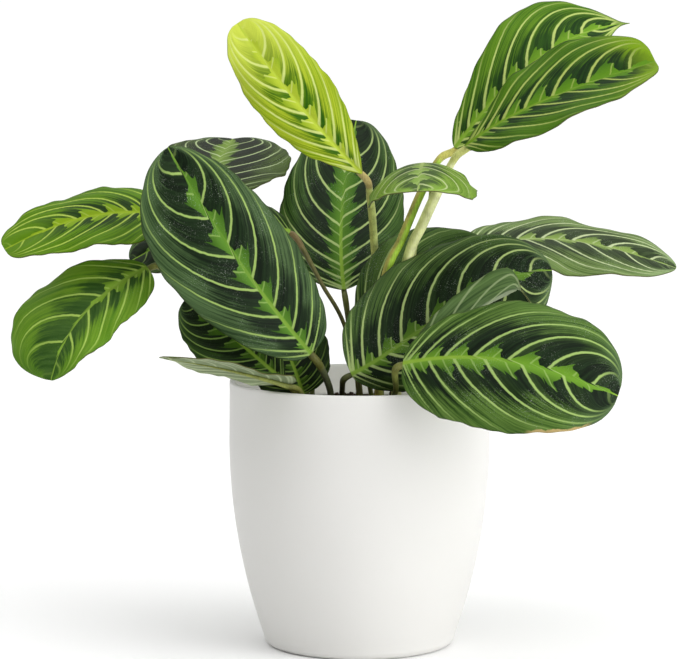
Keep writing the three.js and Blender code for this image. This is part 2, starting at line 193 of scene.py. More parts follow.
plastic, tree = new_material("moulded_polypropylene")
spot = add(tree, "TexCoord", output="Object")
grain = add(tree, "TexNoise", {"Vector": spot, "Scale": 3300, "Detail": 2})
smudge = add(tree, "TexNoise", {"Vector": spot, "Scale": 25, "Detail": 4})
tint = add(tree, "Mix", {0: smudge, 6: linear("#dddcd8"), 7: linear("#e1e0dc")}, **COLOURS)
gloss = add(tree, "MapRange", {"Value": smudge, "To Min": 0.36, "To Max": 0.5})
bump = add(tree, "Bump", {"Height": grain, "Strength": 0.12, "Distance": 0.0001})
x, y, z = add(tree, "SeparateXYZ", {0: spot}).node.outputs
across = add(tree, "CombineXYZ", {0: x, 1: y})
from_axis = add(tree, "VectorMath", {0: across}, output="Value", operation="LENGTH")
mid_wall, soft = rim_x / 1000, 0.0004
inner = add(
    tree,
    "MapRange",
    {"Value": from_axis, "From Min": mid_wall - soft, "From Max": mid_wall + soft, **FALLS},
)
clear = add(tree, "MapRange", {"Value": z, "From Min": GLOW_HEIGHT, "From Max": GLOW_HEIGHT + GLOW_FADE})
clear = add(tree, "Math", {0: clear, 1: inner}, operation="MULTIPLY")
clear = add(tree, "MapRange", {"Value": clear, "To Min": 0.1, "To Max": 1})
shader = add(
    tree,
    "BsdfPrincipled",
    {
        "Base Color": tint, "Roughness": gloss, "Normal": bump, "IOR": 1.49,
        "Subsurface Weight": clear, "Subsurface Radius": (1, 1, 0.9), "Subsurface Scale": GLOW_DEPTH,
    },
)
add(tree, "OutputMaterial", {"Surface": shader})
pot.data.materials.append(plastic)
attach(pot, "root")
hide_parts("pot")

# The soil is a peat mix pressed in round the roots. Its top is uneven and rises a little to the middle.
# It keeps a small gap to the wall of the pot, all the way down.
SOIL_TOP, SOIL_DOME, SOIL_RADIUS, SOIL_EDGE, SEAT_GAP = 110, 1, 57, 108.5, 0.3
LUMP_SIZE, LUMP_HEIGHT = 6, 3.4
SOIL_SIDES, SOIL_RINGS = 180, 56


def soil_height(r):
    """The height of the soil's top at a distance from the middle."""
    return SOIL_TOP - SOIL_DOME * (r / SOIL_RADIUS) ** 2


soil = turned(
    "soil_body",
    [(1, SOIL_TOP)]
    + [(r, soil_height(r)) for r in np.linspace(2, SOIL_RADIUS, SOIL_RINGS)]
    + [(wall_radius(z) - WALL - SEAT_GAP, z) for z in np.linspace(SOIL_EDGE, 14, 12)]
    + [(wall_radius(BASE) - WALL - FOOT_ROUND, BASE + SEAT_GAP), (2, BASE + SEAT_GAP)],
    SOIL_SIDES,
)
bpy.context.view_layer.objects.active = soil
bpy.ops.object.mode_set(mode="EDIT")
bpy.ops.mesh.select_all(action="SELECT")
bpy.ops.mesh.normals_make_consistent(inside=False)
bpy.ops.object.mode_set(mode="OBJECT")
lumps = bpy.data.textures.new("soil_lumps", type="CLOUDS")
lumps.noise_scale = LUMP_SIZE / 1000
lumps.noise_depth = 4
top = soil.vertex_groups.new(name="top")
top_points = [
    v.index
    for v in soil.data.vertices
    if v.co.z > SOIL_EDGE / 1000 and math.hypot(v.co.x, v.co.y) < (SOIL_RADIUS + 0.2) / 1000
]
top.add(top_points, 1, "REPLACE")
bpy.ops.object.modifier_add(type="DISPLACE")
displace = soil.modifiers[-1]
displace.texture = lumps
displace.texture_coords = "LOCAL"
displace.direction = "Z"
displace.strength = LUMP_HEIGHT / 1000
displace.mid_level = 0.62
displace.vertex_group = "top"
bpy.ops.object.modifier_apply(modifier=displace.name)
bpy.ops.object.shade_smooth()
bpy.ops.object.select_all(action="DESELECT")

# Peat: dark and dull, with fibres and grains from 1 to 4 mm, and more even in patches of 11 mm.
peat, tree = new_material("peat_mix")
spot = add(tree, "TexCoord", output="Object")
clods = add(tree, "TexNoise", {"Vector": spot, "Scale": 420, "Detail": 8, "Roughness": 0.7})
patches = add(tree, "TexNoise", {"Vector": spot, "Scale": 90, "Detail": 3})
shade = add(tree, "ValToRGB", {"Fac": clods})
for stop, position, colour in zip(shade.node.color_ramp.elements, (0.34, 0.72), ("#150d08", "#5a3f2b")):
    stop.position = position
    stop.color = linear(colour)
tint = add(tree, "Mix", {0: patches, 6: shade, 7: linear("#35241a")}, **COLOURS)
bump = add(tree, "Bump", {"Height": clods, "Strength": 0.9, "Distance": 0.0012})
shader = add(tree, "BsdfPrincipled", {"Base Color": tint, "Roughness": 0.95, "Normal": bump})
add(tree, "OutputMaterial", {"Surface": shader})
soil.data.materials.append(peat)
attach(soil, "root")
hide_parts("soil")

# The crumbs are bits of peat and bark, most of them 1 to 4 mm across, that lie loose on the soil. Each is
# an uneven flat lump, turned any way and sunk in a little.
CRUMBS, CRUMB_REACH, SMALL_CRUMB, LARGE_CRUMB = 260, 55.5, 0.6, 2.2

rng = np.random.default_rng(7)
loose = []
for _ in range(CRUMBS):
    size = rng.uniform(SMALL_CRUMB, LARGE_CRUMB) * (1 if rng.random() < 0.9 else 1.6)
    r, angle = CRUMB_REACH * math.sqrt(rng.random()), rng.uniform(0, 2 * math.pi)
    height = soil_height(r) + 0.2 * size
    bpy.ops.mesh.primitive_ico_sphere_add(
        subdivisions=1,
        radius=size / 1000,
        location=(r * math.cos(angle) / 1000, r * math.sin(angle) / 1000, height / 1000),
        rotation=rng.uniform(0, 3, 3),
    )
    crumb = bpy.context.object
    crumb.scale = (1, rng.uniform(0.5, 1), rng.uniform(0.35, 0.8))
    for v in crumb.data.vertices:
        v.co *= rng.uniform(0.75, 1.15)
    loose.append(crumb)
for crumb in loose:
    crumb.select_set(True)
bpy.context.view_layer.objects.active = loose[0]
bpy.ops.object.join()
crumbs = bpy.context.object
crumbs.name = "soil_crumbs"
bpy.ops.object.transform_apply(location=True, rotation=True, scale=True)
bpy.ops.object.select_all(action="DESELECT")
crumbs.data.materials.append(peat)
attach(crumbs, "root")

# The leaves. Each grew as one piece: a stem from the roots, a swollen joint under the blade, and the
# midrib that runs on from it. The blade is as thin as card, and quilted between its side veins.

# rib goes from the blade's base to its tip, and face is the way the upper side looks at both ends. left
# and right hold each half's width, its lift from the rib and its curl in degrees, and how far the widest
# place lies to the tip; three numbers in one place are for base, middle and tip. ends is how pointed base
# and tip are, wave the edge's height, count and phase, and stem the radius, the foot and the points up to
# the blade. torn is for a right half with a tear: its place along the leaf, and the lift and the curl of
# the half on the base's side of it, which is rolled back.
BACK_LEAF = dict(left=(26, 8, -20, 0.95), right=(26, 8, -20, 0.95), ends=(0.42, 0.5), wave=(1.2, 2, 0.1))
LEAVES = {
    "leaf_top_left": dict(
        rib=((1, -8, 219), (-29, -6, 252), (-56, 6, 287)), face=((0.1, -0.95, 0.25), (-0.15, -0.85, 0.45)),
        left=(17, 8, -30, 1.2), right=(19, 12, -30, 1.2), ends=(0.8, 0.42), wave=(1, 2.5, 0),
        stem=(1.5, (10, 26), (9, 27, 150), (7, 24, 184), (5, 6, 206))),
    "leaf_top_right_rear": dict(
        rib=((44, 4, 230), (84.6, 14, 272), (126, 30, 286.6)),
        face=((-0.3, -0.85, 0.35), (-0.1, -0.8, 0.6)),
        left=(27, -4.5, 8, 1.19), right=(27, 8, -20, 0.9), ends=(0.6, 2), wave=(1, 2.5, 0.2),
        stem=(1.6, (9, -6), (9, -7, 140), (12.1, -6, 172.2), (19.5, -4, 189.1), (27.8, -1, 208.6),
        (36.1, 2, 224.1))),
    "leaf_top_right_front": dict(
        rib=((47.9, -12, 231.7), (82, -18, 252), (134, -14, 270)),
        face=((-0.3, -0.6, 0.72), (-0.2, -0.6, 0.75)),
        left=(25, 18, -10, 2), right=(22, (5, 22, 15), -30, 1.05), ends=(0.7, 0.32), wave=(1, 3, 0.1),
        stem=(1.6, (17, -7.2), (17, -6.6, 150), (22.6, -5.4, 181.3), (28.5, -7.5, 195.1),
        (34.8, -8.8, 209.2), (41.6, -10.5, 223.2))),
    "leaf_centre_young": dict(
        rib=((29, -12, 224), (27, -42, 223), (25, -70, 215)), face=((0, -0.05, 1), (0, -0.3, 1)),
        left=(28.5, 0, -50, 0.95), right=(29.5, -5, -60, 0.95), ends=(0.52, 0.58), wave=(1.2, 2, 0.3),
        stem=(1.4, (25, -6), (24, -4, 150), (24.5, -1.5, 181), (28.4, -2.2, 195), (33.2, -3.6, 209))),
    "leaf_centre_upright": dict(
        rib=((-7, 28, 162), (-8, 58, 197), (-1, 100, 238)), face=((0, -0.8, 0.6), (0, -0.8, 0.6)),
        left=(30, 10, -30, 0.95), right=(30, 10, -30, 0.95), ends=(0.7, 0.5), wave=(1.2, 2.5, 0.5),
        stem=(1.3, (0, 24), (-4, 26, 140))),
    "leaf_left_large": dict(
        rib=((-22, -40, 140), (-55, -54, 184.5), (-85.5, -46, 233)),
        face=((0.1, -0.95, 0.3), (-0.1, -0.9, 0.4)),
        left=(31.3, 8, -25, 1.4), right=(25.5, 12, -30, 0.9), ends=(0.42, 0.62), wave=(1.3, 2.5, 0),
        stem=(1.6, (-13, -23), (-14, -30, 124))),
    "leaf_left_rear": dict(
        rib=((-75, 36, 206), (-67, 78, 220), (-62, 118, 228)), face=((0, -0.3, 0.95), (0, -0.2, 1)),
        left=(30, 10, -20, 0.95), right=(34, 10, -25, 0.95), ends=(0.45, 0.5), wave=(1.2, 2.5, 0.4),
        stem=(1.5, (-22, 28), (-28, 30, 150), (-50, 34, 190))),
    "leaf_far_left_upper": dict(
        rib=((-87, -22, 201), (-123, -26, 200.5), (-160, -32, 186)),
        face=((0, -0.55, 0.85), (-0.2, -0.65, 0.75)),
        left=(22, 10, -20, 0.6), right=(20, 10, -30, 0.6), ends=(0.43, 0.32), wave=(1.2, 2.5, 0.1),
        stem=(1.4, (-24, 6), (-30, 5, 140), (-52, -10, 170))),
    "leaf_far_left_lower": dict(
        rib=((-96, -30, 178), (-125, -42, 157), (-138, -50, 129)),
        face=((-0.1, -0.75, 0.65), (-0.5, -0.8, 0.3)),
        left=(17.5, 5, -30, 0.8), right=(34, 5, -30, 1.8), ends=(0.35, 0.6), wave=(1.5, 2.5, 0.35),
        stem=(1.4, (-31, -2), (-37, 0, 136), (-76, -12, 159))),
    "leaf_left_hidden": dict(
        rib=((-32, 10, 191), (-68, 9, 193), (-106, 9, 177)), face=((0, -0.7, 0.7), (0, -0.6, 0.8)),
        left=(25, 5, -25, 1), right=(23, 3, -25, 1.2), ends=(0.6, 0.5), wave=(1.2, 2.5, 0.1),
        stem=(1.4, (1, 12), (-6.5, 10, 146), (-17.3, 8.5, 166.5), (-27.5, 9.5, 185))),
    "leaf_low_left": dict(
        rib=((-34, -24, 125), (-56, -30, 145), (-79, -24, 163)),
        face=((0.1, -0.95, 0.2), (-0.1, -0.95, 0.2)),
        left=(18, 5, -25, 1.25), right=(20, 5, -25, 1.25), ends=(0.85, 0.42), wave=(1, 2, 0.1),
        stem=(1.3, (-26, -16))),
    "leaf_rim_left": dict(
        rib=((-31, -46, 127), (-60, -60, 136), (-89, -64, 141)), face=((0, 0.3, 0.93), (0, 0.35, 0.93)),
        left=(16, 5, -25, 0.8), right=(12, 5, -25, 0.8), ends=(0.6, 1), wave=(1, 2, 0.1),
        stem=(1.2, (-21, -32), (-24, -37, 116))),
    "leaf_right_large": dict(
        rib=((-4, -38, 130.4), (24, -31, 147.3), (55, -23, 166.9), (87.8, -12, 174.8)),
        face=((-0.25, -0.93, 0.25), (-0.2, -0.8, 0.6)),
        left=(33.5, 8, (-20, -25, -25), 0.96), right=(31, (-35, -10, -5), (-20, -15, -20), 1.35),
        ends=(0.48, 0.56), wave=(1.3, 2.5, 0.1),
        torn=(0.805, -8, 172),
        stem=(1.3, (-7, -14), (-8, -24, 121))),
    "leaf_right_front": dict(
        rib=((19, -60, 138), (64, -84, 142), (112, -88, 127)),
        face=((-0.1, -0.85, 0.5), (0.15, -0.85, 0.5)),
        left=(31, 8, -25, 1.4), right=(32, 5, -30, 1), ends=(0.42, 0.42), wave=(1.3, 2.5, 0.1),
        stem=(1.5, (14, -25), (16, -42, 123))),
    "leaf_far_right": dict(
        rib=((52, 51, 178), (96, 54, 183.5), (151, 50, 170)), face=((0, -0.3, 0.95), (0.3, -0.35, 0.9)),
        left=(26.5, 8, -20, 0.95), right=(30, 8, -30, 1.2), ends=(0.42, 0.55), wave=(1.3, 2.5, 0.1),
        stem=(1.5, (26, 20), (29, 24, 138), (39, 40, 165))),
    "leaf_right_rear": dict(
        rib=((5, 4, 140), (26, 9, 146), (81, 14, 156)), face=((-0.15, -0.97, 0.15), (-0.1, -0.9, 0.3)),
        left=(47, 5, -20, 1.55), right=(22, 8, -20, 1.1), ends=(0.42, 0.5), wave=(1.3, 2.5, 0.1),
        stem=(1.4, (6, 3))),
    "leaf_low_centre": dict(
        rib=((-26, -14, 118), (-33, -17, 138), (-44, -17, 159)), face=((0.2, -0.9, 0.4), (0.2, -0.8, 0.5)),
        left=(20, 8, -20, 0.95), right=(20, 8, -20, 0.95), ends=(0.42, 0.5), wave=(1, 2, 0.1),
        stem=(1.3, (-18, -8))),
    "leaf_back_left": dict(
        BACK_LEAF, rib=((-34, 44, 135), (-50, 64, 160), (-66, 80, 180)),
        face=((-0.2, 0.5, 0.85), (-0.3, 0.7, 0.6)), stem=(1.4, (-29, 36))),
    "leaf_back_right": dict(
        BACK_LEAF, rib=((30, 44, 150), (52, 70, 165), (78, 92, 168)),
        face=((0.2, 0.4, 0.9), (0.3, 0.6, 0.7)), stem=(1.4, (18, 30), (24, 34, 130))),
    "leaf_back_low": dict(
        BACK_LEAF, rib=((24, 54, 140), (38, 88, 138), (50, 112, 108)),
        face=((0, 0.2, 1), (0.2, 0.9, 0.3)), stem=(1.4, (8, 34), (14, 40, 126))),
}

# WIDTH, LIFT, CURL and BELLY are the places of a half's four values. The tear takes TEAR_DEPTH of the
# half's width, over TEAR_WIDTH of the blade's length. The blade's relief and the stem's foot and cuff
# are in mm.
WIDTH, LIFT, CURL, BELLY = range(4)
TEAR_DEPTH, TEAR_WIDTH, BASE_WIDTH = 0.55, 0.026, 0.5
BLADE_THICKNESS, QUILT, GROOVE, SAG = 0.45, 0.42, 0.35, 0.7
FOOT_DEPTHS, CUFF_MIDDLE, CUFF_REACH = (22, 10), 5, 4.2
BLADE_ROWS, BLADE_COLUMNS, STEM_ROWS, RIB_ROWS, STEM_SIDES = 112, 43, 60, 50, 19


def unit(a):
    """Vectors with the length taken out."""
    return a / np.linalg.norm(a, axis=-1, keepdims=True)


def along(value, t):
    """A value that holds all along the blade, or goes from the base over the middle to the tip."""
    if not isinstance(value, tuple):
        return value + 0 * t
    base, middle, tip = value
    return base * (1 - t) * (1 - 2 * t) + 4 * middle * t * (1 - t) + tip * t * (2 * t - 1)


def of_half(leaf, what, t, v):
    """The width, lift, curl or belly, its widest place, of the half that v lies in."""
    return np.where(v < 0, along(leaf["left"][what], t), along(leaf["right"][what], t))


def rib_point(leaf, t):
    """Points of the midrib, with t from 0 at the blade's base to 1 at its tip."""
    rib = np.array(leaf["rib"], float)
    last = len(rib) - 1
    point = np.zeros(t.shape + (3,))
    for i, at in enumerate(rib):
        weight = np.ones(t.shape)
        for j in range(last + 1):
            if j != i:
                weight = weight * (t * last - j) / (i - j)
        point += weight[..., None] * at
    return point


def rib_frame(leaf, t):
    """The midrib's direction, the way to the leaf's right, and the way out of its upper side."""
    step = 1e-3
    ahead = unit(rib_point(leaf, np.minimum(1, t + step)) - rib_point(leaf, np.maximum(0, t - step)))
    base, tip = unit(np.array(leaf["face"], float))
    right = unit(np.cross(ahead, base + (tip - base) * t[..., None]))
    return ahead, right, np.cross(right, ahead)


def fade(x, low, high):
    """Goes smoothly from 0 at low to 1 at high."""
    x = np.clip((x - low) / (high - low), 0, 1)
    return x * x * (3 - 2 * x)


def half_width(leaf, t, v):
    """The width of the half that v lies in, at t."""
    u = t ** of_half(leaf, BELLY, t, v)
    ends = leaf["ends"][0] + (leaf["ends"][1] - leaf["ends"][0]) * t
    swell = np.maximum(0, 4 * u * (1 - u)) ** ends
    if "torn" in leaf:
        tear = TEAR_DEPTH * np.exp(-(((t - leaf["torn"][0]) / TEAR_WIDTH) ** 2))
        swell = swell * np.where(v > 0, 1 - tear, 1)
    return of_half(leaf, WIDTH, t, v) * swell + BASE_WIDTH * (1 - t) ** 0.5


def vein_number(leaf, t, v):
    """Counts the side veins from base to tip, so that each whole number is a vein. They leave the
    midrib at a wide angle and bend forward to the edge."""
    count, sweep = leaf["veins"]
    # A vein that starts at t0 on the midrib has come forward by g * sweep * (0.08 + t0) * (1 - t0) at v.
    # This is solved for t0.
    g = 0.35 * np.abs(v) + 0.65 * np.abs(v) ** 3
    b = 1 + g * sweep * 0.92
    root = np.sqrt(np.maximum(0, b * b - 4 * g * sweep * (t - 0.08 * g * sweep)))
    t0 = 2 * (t - 0.08 * g * sweep) / (b + root)
    return count * np.sign(t0) * np.abs(t0) ** 0.65 + np.where(v < 0, 0.5, 0.15)


def blade_point(leaf, t, v, raised=0):
    """Points of the blade, raised by so much over its form. v runs from -1 at its left edge over 0 at
    the midrib to 1 at its right edge."""
    _, right, up = rib_frame(leaf, t)
    out = np.abs(v) * half_width(leaf, t, v)
    lift, curl = of_half(leaf, LIFT, t, v), of_half(leaf, CURL, t, v)
    if "torn" in leaf:
        tear, torn_lift, torn_curl = leaf["torn"]
        folded = fade(t, 0.1, 0.34) * (1 - fade(t, tear - 0.02, tear + 0.04)) * (v > 0)
        lift = lift + (torn_lift - lift) * folded
        curl = curl + (torn_curl - curl) * folded
    start, bend = np.radians(lift), np.radians(curl) / of_half(leaf, WIDTH, t, v)
    angle = start + bend * out
    size, count, phase = leaf["wave"]
    turn = 2 * np.pi * (count * t + phase + np.where(v > 0, 0.25, 0))
    ripple = size * np.abs(v) ** 3 * np.sin(turn) * np.sin(np.pi * t) ** 0.5
    across = (np.sin(angle) - np.sin(start)) / bend
    rise = (np.cos(start) - np.cos(angle)) / bend + ripple
    return (
        rib_point(leaf, t)
        + right * (np.sign(v) * (across - raised * np.sin(angle)))[..., None]
        + up * (rise + raised * np.cos(angle))[..., None]
    )


def relief(leaf, t, v, phases):
    """How far the blade stands out of its smooth form: quilted between the veins, grooved over the
    midrib, crimped at the edge, sagging a little all over, and smooth at base and tip."""
    out, side, room = np.abs(v), np.sign(v), half_width(leaf, t, v)
    quilt = np.abs(np.sin(np.pi * vein_number(leaf, t, v))) - 0.5
    quilt = quilt * fade(out, 0.03, 0.25) * (1 - fade(out, 0.7, 1)) * fade(room, 3, 12)
    groove = -GROOVE * (1 - fade(out * room, 0, 2.2)) * fade(room, 1, 6)
    crimp = out**6 * (
        0.3 * np.sin(19 * t + phases[0] + side) + 0.2 * np.sin(43 * t + phases[1] - side)
    )
    sag = SAG * np.sin(5 * t + 2.5 * v + phases[2]) * out * (1 - out) * 2
    return (QUILT * quilt + groove + crimp + sag) * fade(t, 0, 0.06) * (1 - fade(t, 0.93, 1))


def vein_gap(leaf, t, v):
    """The gap between two veins in millimetres, from how fast the vein number changes."""
    step = 1e-3
    t_low, t_high = np.maximum(t - step, 0), np.minimum(t + step, 1)
    v_low, v_high = np.maximum(v - step, -1), np.minimum(v + step, 1)
    ahead = blade_point(leaf, t_high, v) - blade_point(leaf, t_low, v)
    aside = blade_point(leaf, t, v_high) - blade_point(leaf, t, v_low)
    rise_t = vein_number(leaf, t_high, v) - vein_number(leaf, t_low, v)
    # The two halves count apart, so that on the midrib the number is taken on one side of it only.
    shift = np.where(v == 0, step, 0)
    rise_v = vein_number(leaf, t, v_high + shift) - vein_number(leaf, t, v_low + shift)
    e, f, g = (ahead**2).sum(-1), (ahead * aside).sum(-1), (aside**2).sum(-1)
    slope = g * rise_t**2 - 2 * f * rise_t * rise_v + e * rise_v**2
    slope = slope / np.maximum(e * g - f * f, 1e-12)
    return np.clip(1 / np.sqrt(np.maximum(slope, 1e-6)), 0.3, 20)


def shaped_grid(name, rows, columns, place, merge, closed=False):
    """A flat grid laid out by place(s, w), which gives millimetres for s along and w across, 0 to 1, and
    the values that its material reads. Points within merge mm of each other become one."""
    bpy.ops.object.select_all(action="DESELECT")
    bpy.ops.mesh.primitive_grid_add(x_subdivisions=rows, y_subdivisions=columns, size=1)
    piece = bpy.context.object
    piece.name = name
    flat = np.zeros(3 * len(piece.data.vertices))
    piece.data.vertices.foreach_get("co", flat)
    s, w = flat.reshape(-1, 3)[:, 0] + 0.5, flat.reshape(-1, 3)[:, 1] + 0.5
    points, values = place(s, w)
    piece.data.vertices.foreach_set("co", points.ravel() / 1000)
    for key, value in values.items():
        attribute = piece.data.attributes.new(key, "FLOAT_VECTOR", "POINT")
        attribute.data.foreach_set("vector", np.stack(value, -1).ravel())
    bpy.ops.object.shade_smooth()
    bpy.ops.object.mode_set(mode="EDIT")
    bpy.ops.mesh.select_all(action="SELECT")
    bpy.ops.mesh.remove_doubles(threshold=merge / 1000)
    if closed:
        bpy.ops.mesh.normals_make_consistent(inside=False)
    bpy.ops.object.mode_set(mode="OBJECT")
    return piece


def blade(name, leaf, seed):
    """The blade as a sheet. It carries where each point lies, for the pattern of its skin."""
    rng = np.random.default_rng(seed)
    phases = rng.uniform(0, 2 * np.pi, 5)

    def place(s, w):
        # The rows lie closer together at the base and the tip.
        t, v = s - 0.11 * np.sin(2 * np.pi * s), 1 - 2 * w
        m, room = vein_number(leaf, t, v), half_width(leaf, t, v)
        points = blade_point(leaf, t, v, relief(leaf, t, v, phases))
        # A real edge isn't a clean curve: it has shallow notches where the veins end.
        _, right, _ = rib_frame(leaf, t)
        notch = 0.22 * np.sin(31 * t + phases[3]) + 0.16 * np.sin(67 * t + phases[4])
        notch = (notch - 0.25 * np.abs(np.cos(np.pi * m)) ** 8) * fade(room, 2, 8)
        points += right * (np.sign(v) * notch * fade(np.abs(v), 0.85, 1))[..., None]
        return points, {
            "leaf_place": (t, v, m),
            "leaf_size": (vein_gap(leaf, t, v), np.abs(v) * room, (1 - np.abs(v)) * room),
        }

    return shaped_grid(name, BLADE_ROWS, BLADE_COLUMNS, place, merge=0.02)


def stem_point(leaf, t):
    """Points of the stem, with t from 0 at the soil to 1 at the blade's base."""
    _, (x, y), *between = leaf["stem"]
    p = np.array([(x, y, SOIL_TOP), *between, leaf["rib"][0]], float)
    last = len(p) - 1
    first = p[1] - (0, 0, 2 * np.linalg.norm(p[0] - p[1]))
    after = p[-2] + 2 * np.linalg.norm(p[-1] - p[-2]) * rib_frame(leaf, np.zeros(1))[0][0]
    q = np.vstack([first, p, after])
    i = np.minimum(last - 1, np.floor(t * last).astype(int))
    f = (t * last - i)[..., None]
    a, b, c, d = q[i], q[i + 1], q[i + 2], q[i + 3]
    return b + ((c - a) * f + (2 * a - 5 * b + 4 * c - d) * f * f + (3 * b - a - 3 * c + d) * f**3) / 2


def stem(name, leaf, wide):
    """The stem from its foot in the soil up to the blade, and on under the blade as its midrib. wide
    is how much wider than at the blade it is, from 26 mm before the blade down."""
    radius, (x, y), *_ = leaf["stem"]
    foot = [(x, y, SOIL_TOP - depth) for depth in FOOT_DEPTHS]
    above = stem_point(leaf, np.linspace(0, 1, STEM_ROWS))
    under = np.linspace(0, 0.97, RIB_ROWS)[1:]
    path = np.vstack([foot, above, rib_point(leaf, under)])
    joint = len(foot) + STEM_ROWS - 1
    lengths = np.concatenate([[0], np.cumsum(np.linalg.norm(np.diff(path, axis=0), axis=1))])
    down = lengths[joint] - lengths
    # The joint under the blade is a slightly swollen cuff about 9 mm long, and a sheath widens the stem
    # lower down. Past the joint the midrib thins out and sinks into the blade's underside.
    cuff = 0.12 * np.exp(-(((down - CUFF_MIDDLE) / CUFF_REACH) ** 4))
    swell = 1 + cuff + (wide - 1) * fade(down, 8, 26)
    radii = radius * np.where(down >= 0, swell, 1)
    radii[joint + 1 :] = radius * (1 - under) ** 1.3
    radii[-1] = 0.02
    _, right, up = rib_frame(leaf, np.concatenate([np.zeros(joint + 1), under]))
    path -= up * ((radii + BLADE_THICKNESS) * fade(-down, -7, 1.5))[:, None]
    tangents = unit(np.gradient(path, axis=0))
    # The way to the side is carried on from ring to ring, so that the tube doesn't twist.
    rights = np.zeros_like(path)
    for order in (range(joint, -1, -1), range(joint, len(path))):
        carried = right[0]
        for i in order:
            carried = unit(carried - tangents[i] * carried.dot(tangents[i]))
            rights[i] = carried
    ups = np.cross(rights, tangents)

    def place(s, w):
        i = np.clip(np.rint(s * (len(path) - 1)).astype(int), 0, len(path) - 1)
        angle = 2 * np.pi * w
        around = rights[i] * np.cos(angle)[:, None] + ups[i] * np.sin(angle)[:, None]
        # The third value is how far the surface faces the world's x. The stem's skin uses it to paint shade
        # on the side that faces left.
        return path[i] + around * radii[i][:, None], {
            "stem_place": (lengths[i], down[i], around[:, 0]),
        }

    return shaped_grid(name, len(path), STEM_SIDES, place, merge=0.01, closed=True)


def blade_values(tree):
    """What a blade carries: t, v, its vein number, and in mm the gap between veins, the way from the
    midrib and the way to the edge."""
    values = []
    for key in ("leaf_place", "leaf_size"):
        stored = add(tree, "Attribute", output="Vector", attribute_name=key)
        values += add(tree, "SeparateXYZ", {0: stored}).node.outputs
    return values


def between_veins(tree, number, gap):
    """How far on from one vein to the next, 0 to 1, and the distance in mm to the nearer one."""
    on = add(tree, "Math", {0: number}, operation="FRACT")
    left = add(tree, "Math", {0: 1.0, 1: on}, operation="SUBTRACT")
    nearer = add(tree, "Math", {0: on, 1: left}, operation="MINIMUM")
    return on, add(tree, "Math", {0: nearer, 1: gap}, operation="MULTIPLY")


# How far the herringbone reaches, in mm, at a few places between one vein and the next.
SMALL = ((0, 0.6), (0.1, 2.2), (0.36, 7.0), (0.42, 5.4), (0.58, 4.2), (0.66, 3.0), (0.76, 1.0), (1, 0.4))
WIDE = ((0, 3.4), (0.2, 4.8), (0.45, 7.4), (0.6, 9.6), (0.66, 7), (0.85, 3.6), (1, 2.6))
BAND = ((0, 7.6), (0.24, 8.0), (0.3, 4.4), (0.55, 5.6), (0.8, 7.6), (1, 7.6))
LONGEST_TOOTH = 10
SMOOTHLY = {"interpolation_type": "SMOOTHSTEP"}


